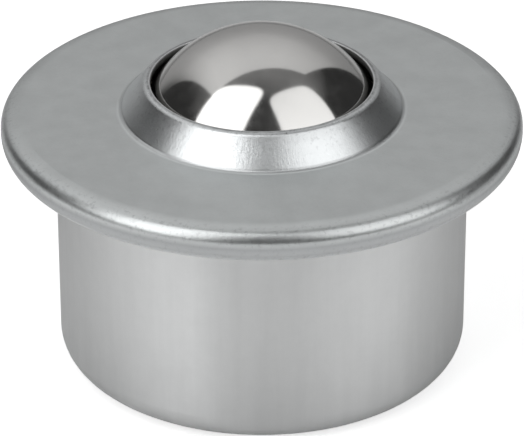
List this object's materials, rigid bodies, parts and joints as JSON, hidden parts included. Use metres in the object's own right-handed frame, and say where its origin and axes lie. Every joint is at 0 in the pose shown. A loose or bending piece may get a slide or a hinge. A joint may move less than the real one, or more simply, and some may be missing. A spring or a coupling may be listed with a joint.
{
  "type": "ball transfer unit",
  "caption": "Ball transfer unit: a polished load ball on a bed of small balls in a round sheet-steel housing, under a flanged cover with a raised lip.",
  "frame": {"origin": "centre of the housing's flat bottom, where the unit stands", "axes": "+Z along the unit's axis, up through the load ball; X and Y are free, as the unit is round, and the bed of bearing balls starts each ring on +X"},
  "size_m": [0.045, 0.045, 0.0302],
  "materials": {
    "zinc_plated_sheet": "satin, bright zinc plated",
    "polished_ball": "polished",
    "bearing_balls": "polished",
    "hardened_cup": "ground, hardened",
    "felt": "pressed wool felt"
  },
  "bodies": {
    "housing_and_cover": {"housing": "zinc_plated_sheet", "cover": "zinc_plated_sheet", "ball_cup": "hardened_cup", "felt_seal": "felt"},
    "ball_bed": {"bearing_ball_01": "bearing_balls", "bearing_ball_02": "bearing_balls", "bearing_ball_03": "bearing_balls", "bearing_ball_04": "bearing_balls", "bearing_ball_05": "bearing_balls", "bearing_ball_06": "bearing_balls", "bearing_ball_07": "bearing_balls", "bearing_ball_08": "bearing_balls", "bearing_ball_09": "bearing_balls", "bearing_ball_10": "bearing_balls", "bearing_ball_11": "bearing_balls", "bearing_ball_12": "bearing_balls", "bearing_ball_13": "bearing_balls", "bearing_ball_14": "bearing_balls", "bearing_ball_15": "bearing_balls", "bearing_ball_16": "bearing_balls", "bearing_ball_17": "bearing_balls", "bearing_ball_18": "bearing_balls", "bearing_ball_19": "bearing_balls", "bearing_ball_20": "bearing_balls", "bearing_ball_21": "bearing_balls", "bearing_ball_22": "bearing_balls", "bearing_ball_23": "bearing_balls", "bearing_ball_24": "bearing_balls", "bearing_ball_25": "bearing_balls", "bearing_ball_26": "bearing_balls", "bearing_ball_27": "bearing_balls", "bearing_ball_28": "bearing_balls", "bearing_ball_29": "bearing_balls", "bearing_ball_30": "bearing_balls", "bearing_ball_31": "bearing_balls", "bearing_ball_32": "bearing_balls", "bearing_ball_33": "bearing_balls", "bearing_ball_34": "bearing_balls", "bearing_ball_35": "bearing_balls", "bearing_ball_36": "bearing_balls", "bearing_ball_37": "bearing_balls", "bearing_ball_38": "bearing_balls", "bearing_ball_39": "bearing_balls", "bearing_ball_40": "bearing_balls", "bearing_ball_41": "bearing_balls", "bearing_ball_42": "bearing_balls", "bearing_ball_43": "bearing_balls", "bearing_ball_44": "bearing_balls", "bearing_ball_45": "bearing_balls", "bearing_ball_46": "bearing_balls", "bearing_ball_47": "bearing_balls", "bearing_ball_48": "bearing_balls", "bearing_ball_49": "bearing_balls", "bearing_ball_50": "bearing_balls", "bearing_ball_51": "bearing_balls", "bearing_ball_52": "bearing_balls", "bearing_ball_53": "bearing_balls"},
    "load_ball": {"load_ball": "polished_ball"}
  },
  "joints": [
    {"name": "bed_turn", "type": "hinge", "parent": "housing_and_cover", "child": "ball_bed", "pos_m": [0, 0, 0.0191], "axis": [0, 0, 1], "continuous": true},
    {"name": "ball_roll", "type": "hinge", "parent": "ball_bed", "child": "load_ball", "pos_m": [0, 0, 0.0191], "axis": [1, 0, 0], "continuous": true}
  ]
}
